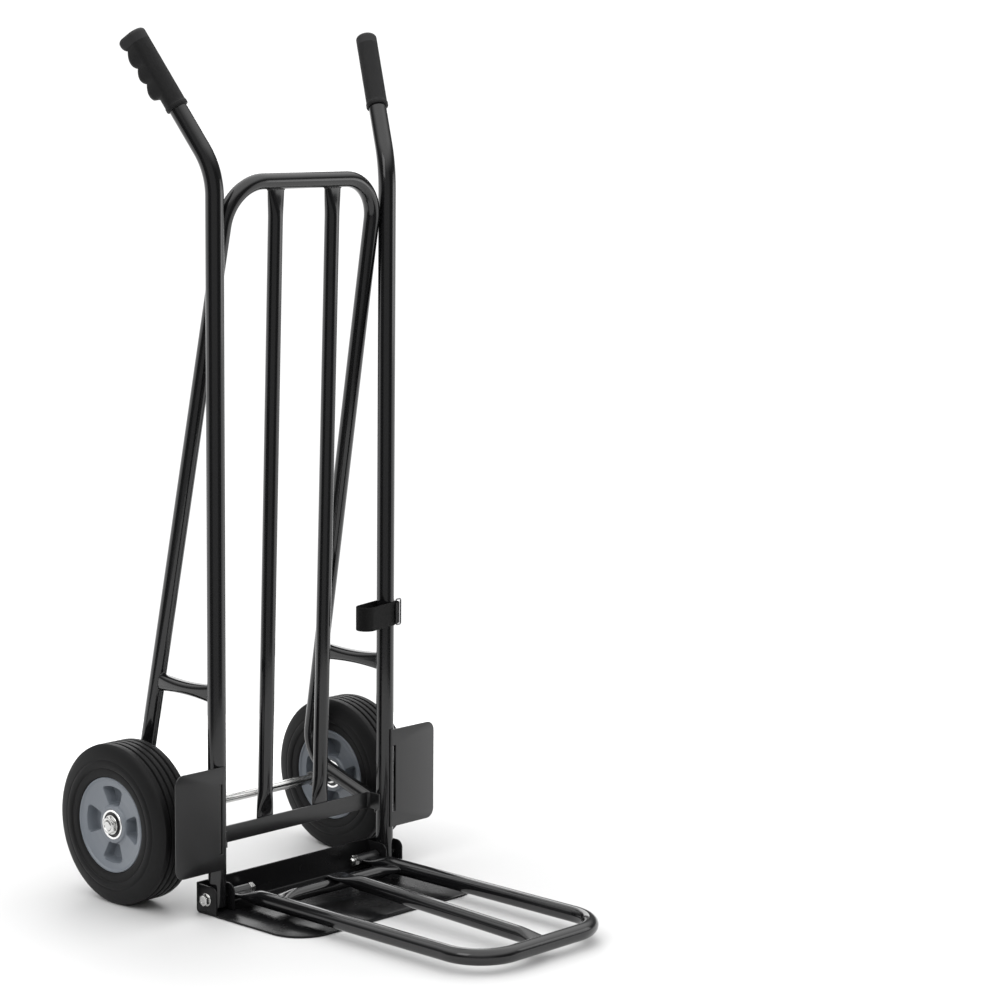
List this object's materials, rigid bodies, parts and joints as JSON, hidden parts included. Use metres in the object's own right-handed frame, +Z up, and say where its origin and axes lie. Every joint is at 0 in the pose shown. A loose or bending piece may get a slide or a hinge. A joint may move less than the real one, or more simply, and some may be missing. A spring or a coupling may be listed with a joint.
{
  "type": "folding-nose hand truck",
  "caption": "Two-wheel hand truck with bent handles, slatted tube back, fold-up toe plate and a folding tube nose over it.",
  "frame": {"origin": "on the floor plane under the toe plate, midway between the uprights, straight below their axes and the pivot line", "axes": "+Z is up, -Y is forward, the way the toe plate and the folding nose point, and +X is the side of the tie strap"},
  "size_m": [0.55, 0.8001, 1.3332],
  "materials": {
    "black_tube": "gloss black powder coat on steel tube",
    "black_sheet": "satin black powder coat on steel sheet",
    "zinc": "bright zinc plate",
    "bearing": "polished steel",
    "grip": "satin moulded grip",
    "tyre": "matt black",
    "hub": "dark blue-grey moulding",
    "webbing": "woven black webbing"
  },
  "bodies": {
    "frame": {"upright_left": "black_tube", "upright_right": "black_tube", "grip_left": "grip", "grip_right": "grip", "back_slat_left": "black_tube", "back_slat_right": "black_tube", "mid_brace_left": "black_tube", "mid_brace_right": "black_tube", "wheel_guard_left": "black_sheet", "wheel_guard_right": "black_sheet", "axle_sleeve_left": "black_tube", "axle_sleeve_right": "black_tube", "rear_hoop": "black_tube", "lower_cross_strip": "black_sheet", "axle": "zinc", "axle_washers": "zinc", "axle_nuts": "zinc", "tie_strap": "webbing", "strap_ring": "zinc"},
    "wheel_left": {"tyre_left": "tyre", "hub_left": "hub", "bearing_outer_left": "bearing", "bearing_inner_left": "bearing"},
    "wheel_right": {"tyre_right": "tyre", "hub_right": "hub", "bearing_outer_right": "bearing", "bearing_inner_right": "bearing"},
    "toe_plate": {"toe_plate": "black_sheet", "toe_ear_outer_left": "black_sheet", "toe_ear_outer_right": "black_sheet", "toe_ear_inner_left": "black_sheet", "toe_ear_inner_right": "black_sheet", "pivot_bolts": "zinc", "pivot_washers": "zinc", "pivot_nuts": "zinc"},
    "nose": {"nose_hoop": "black_tube", "nose_cross_tube": "black_tube", "nose_slat": "black_tube", "nose_hinge_sleeve_left": "black_tube", "nose_hinge_sleeve_right": "black_tube"}
  },
  "joints": [
    {"name": "wheel_left_spin", "type": "hinge", "parent": "frame", "child": "wheel_left", "pos_m": [-0.232, 0.1476, 0.125], "axis": [1, 0, 0], "continuous": true},
    {"name": "wheel_right_spin", "type": "hinge", "parent": "frame", "child": "wheel_right", "pos_m": [0.232, 0.1476, 0.125], "axis": [1, 0, 0], "continuous": true},
    {"name": "toe_plate_fold", "type": "hinge", "parent": "frame", "child": "toe_plate", "pos_m": [0, 0, 0.024], "axis": [-1, 0, 0], "range_deg": [0, 88.5]},
    {"name": "nose_fold", "type": "hinge", "parent": "toe_plate", "child": "nose", "pos_m": [0, 0, 0.024], "axis": [-1, 0, 0], "range_deg": [0, 88.5], "deforming": ["tie_strap"]}
  ]
}
